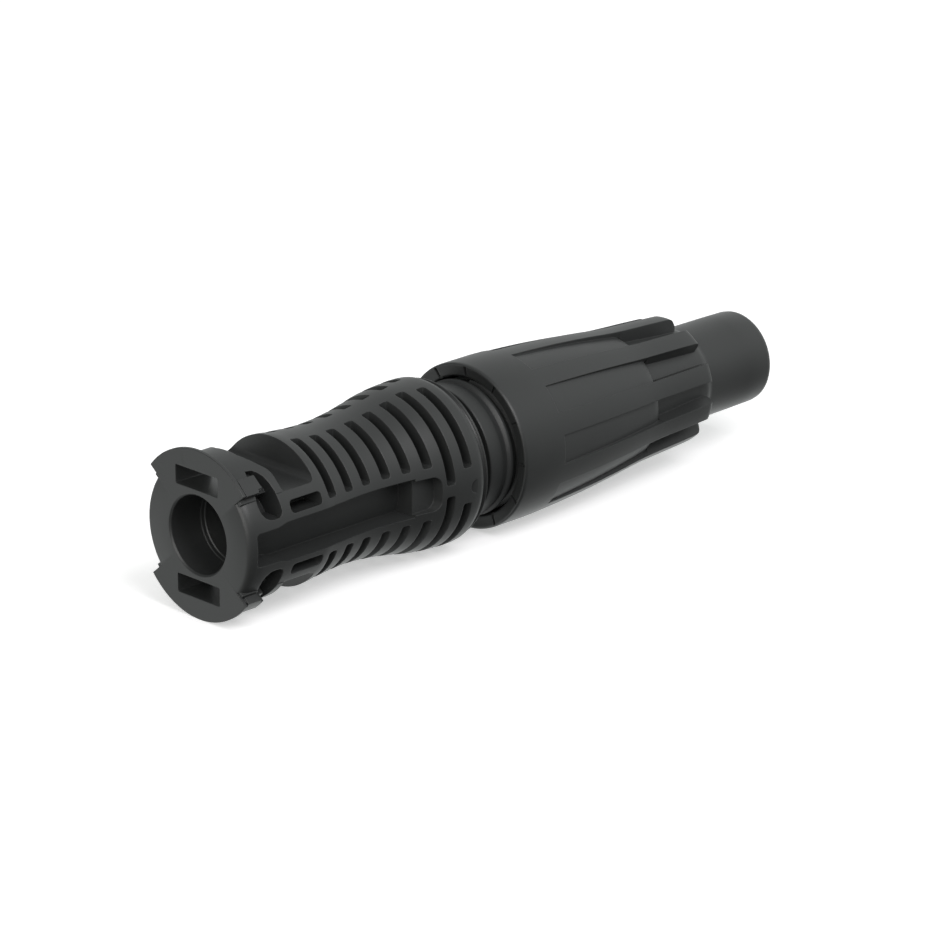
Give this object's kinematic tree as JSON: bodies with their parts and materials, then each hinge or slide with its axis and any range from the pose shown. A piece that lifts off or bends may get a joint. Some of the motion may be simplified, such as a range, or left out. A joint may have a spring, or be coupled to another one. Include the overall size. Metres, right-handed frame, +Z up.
{
  "type": "solar cable connector",
  "caption": "Single-pole in-line solar cable coupler: ribbed round housing with mating bore and latch slots, recessed pin contact, and a finned screw cap nut with a cable hole.",
  "frame": {"origin": "centre of the connector's bounding box, on its long axis, half-way between the mating face and the end of the nut's nose, with the nut as it is before tightening", "axes": "+X along the connector from the mating face to the cable end; +Z up through the upper latch slot; +Y to the side, so the mating face looks towards -X"},
  "size_m": [0.087, 0.0196, 0.0196],
  "materials": {
    "housing_plastic": "satin charcoal moulded plastic, light spark-eroded grain",
    "nut_plastic": "satin charcoal moulded plastic, light spark-eroded grain",
    "plated_contact": "tin-plated copper alloy, bright turned surface",
    "spring_steel": "rolled spring steel",
    "seal_rubber": "matt black elastomer",
    "cage_plastic": "satin black moulded plastic"
  },
  "bodies": {
    "housing_body": {"housing": "housing_plastic", "pin_contact": "plated_contact", "retaining_spring": "spring_steel", "cable_seal": "seal_rubber"},
    "cage_body": {"clamping_cage": "cage_plastic"},
    "nut_body": {"cap_nut": "nut_plastic"}
  },
  "joints": [
    {"name": "cage_slide", "type": "slide", "parent": "housing_body", "child": "cage_body", "axis": [1, 0, 0], "range_m": [-0.003, 0.009]},
    {"name": "nut_turn", "type": "hinge", "parent": "cage_body", "child": "nut_body", "pos_m": [0, 0, 0], "axis": [1, 0, 0], "range_deg": [-720, 2160]}
  ],
  "couplings": [
    {"joint": "cage_slide", "follows": "nut_turn", "m_per_rad": 0.00023873}
  ]
}
